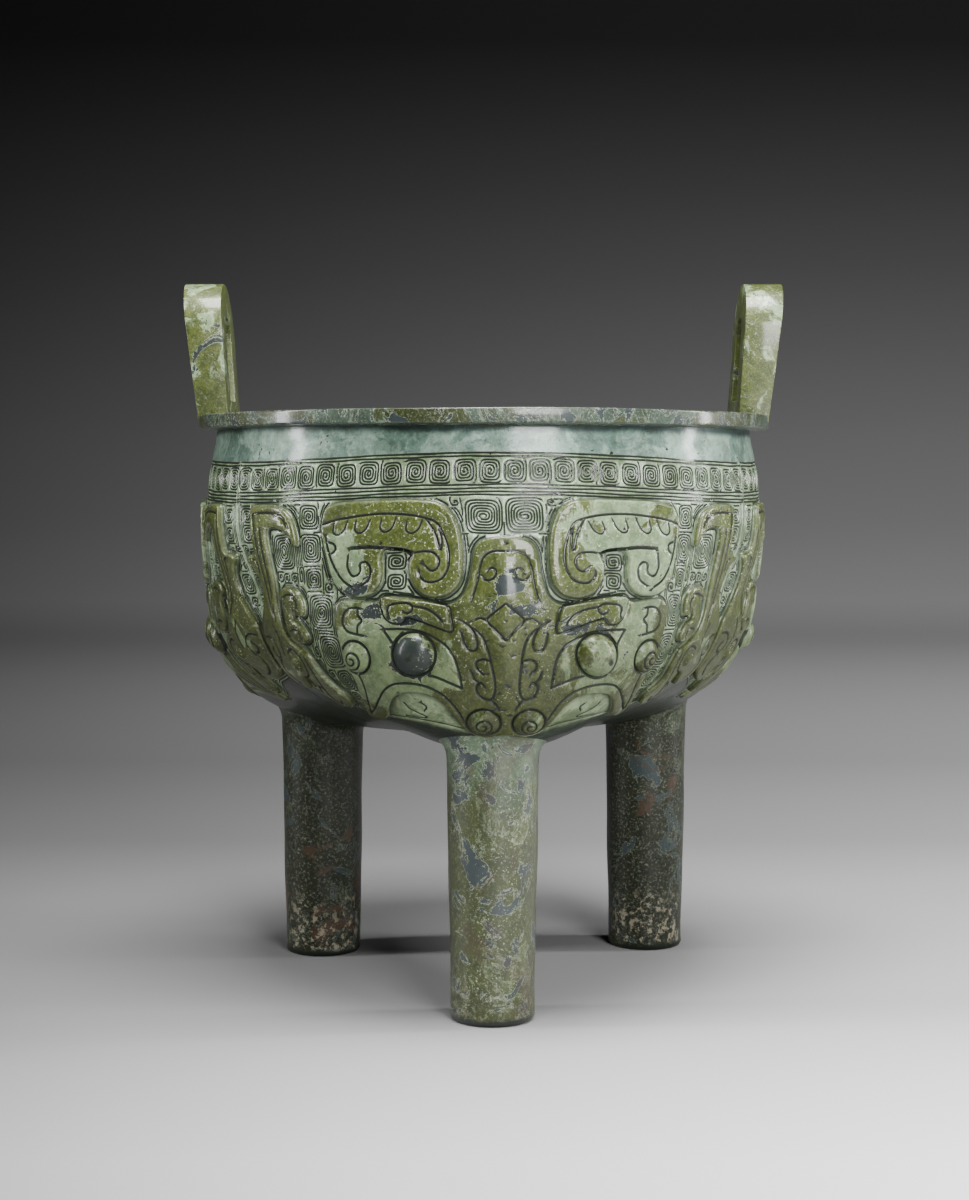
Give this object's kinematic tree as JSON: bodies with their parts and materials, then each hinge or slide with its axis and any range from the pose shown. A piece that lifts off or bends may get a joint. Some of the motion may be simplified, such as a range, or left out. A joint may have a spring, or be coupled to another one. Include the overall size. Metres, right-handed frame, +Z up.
{
  "type": "bronze ding vessel",
  "caption": "Lobed round cauldron of cast bronze on straight round legs, with a flat rim, upright loop handles and raised animal-mask relief, for cooking or offering food.",
  "frame": {"origin": "on the floor, on the bowl's axis", "axes": "+Z up, the handles on the X axis, the middle mask and the leg below it toward -Y"},
  "size_m": [0.2058, 0.1981, 0.24],
  "materials": {
    "patinated_bronze": "old green patina over cast bronze, satin"
  },
  "bodies": {
    "root": {"ding_vessel": "patinated_bronze"}
  },
  "joints": []
}
